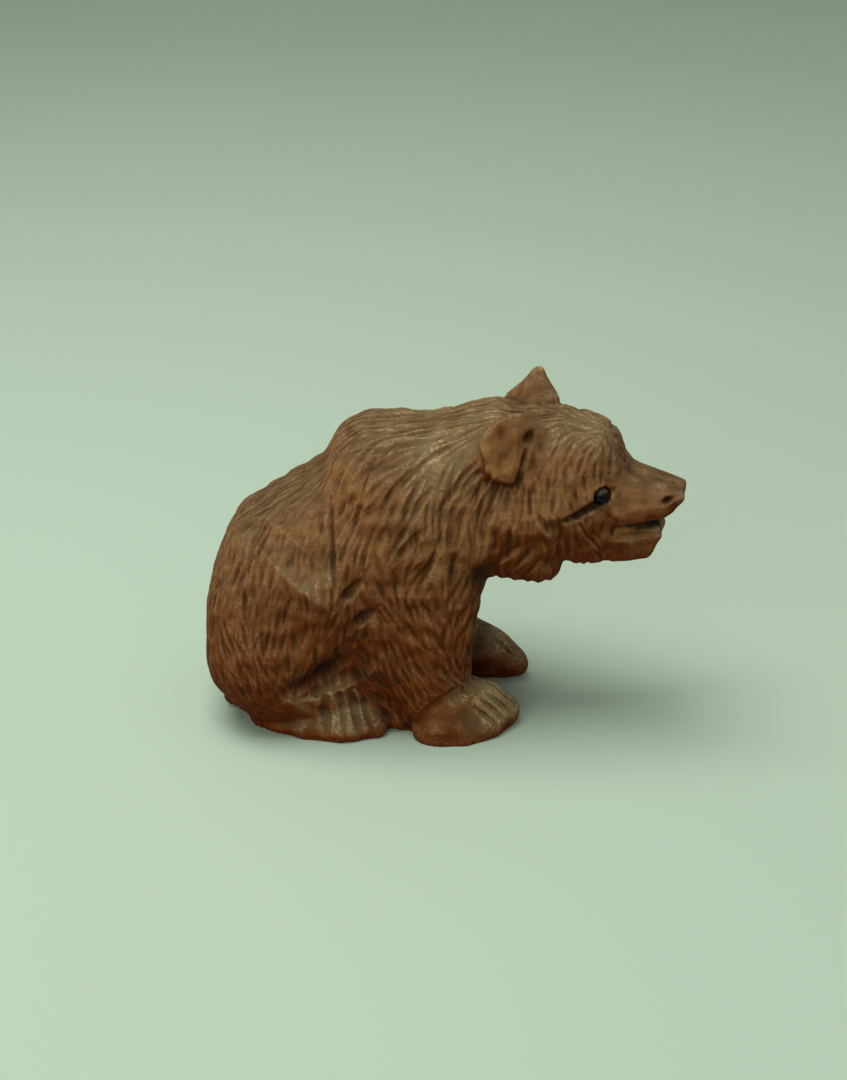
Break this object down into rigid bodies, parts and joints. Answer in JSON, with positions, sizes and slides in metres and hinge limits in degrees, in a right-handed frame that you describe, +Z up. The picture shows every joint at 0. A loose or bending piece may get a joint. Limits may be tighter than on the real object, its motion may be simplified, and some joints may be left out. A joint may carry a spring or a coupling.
{
  "type": "wooden bear figurine",
  "caption": "Sitting bear carved in wood with gouge-cut fur, a humped back, a turned head, a slightly open mouth and bead eyes; stands on its flat underside.",
  "frame": {"origin": "middle of the bear's length and width, on the plane of its flat underside", "axes": "+X towards the bear's nose, +Z up, so the bear's left side is at +Y"},
  "size_m": [0.1187, 0.0495, 0.0877],
  "materials": {
    "carved_wood": "old dark stain, dusty on top, worn on the ridges",
    "black_bead": "gloss"
  },
  "bodies": {
    "root": {"bear": "carved_wood", "eye_left": "black_bead", "eye_right": "black_bead"}
  },
  "joints": []
}
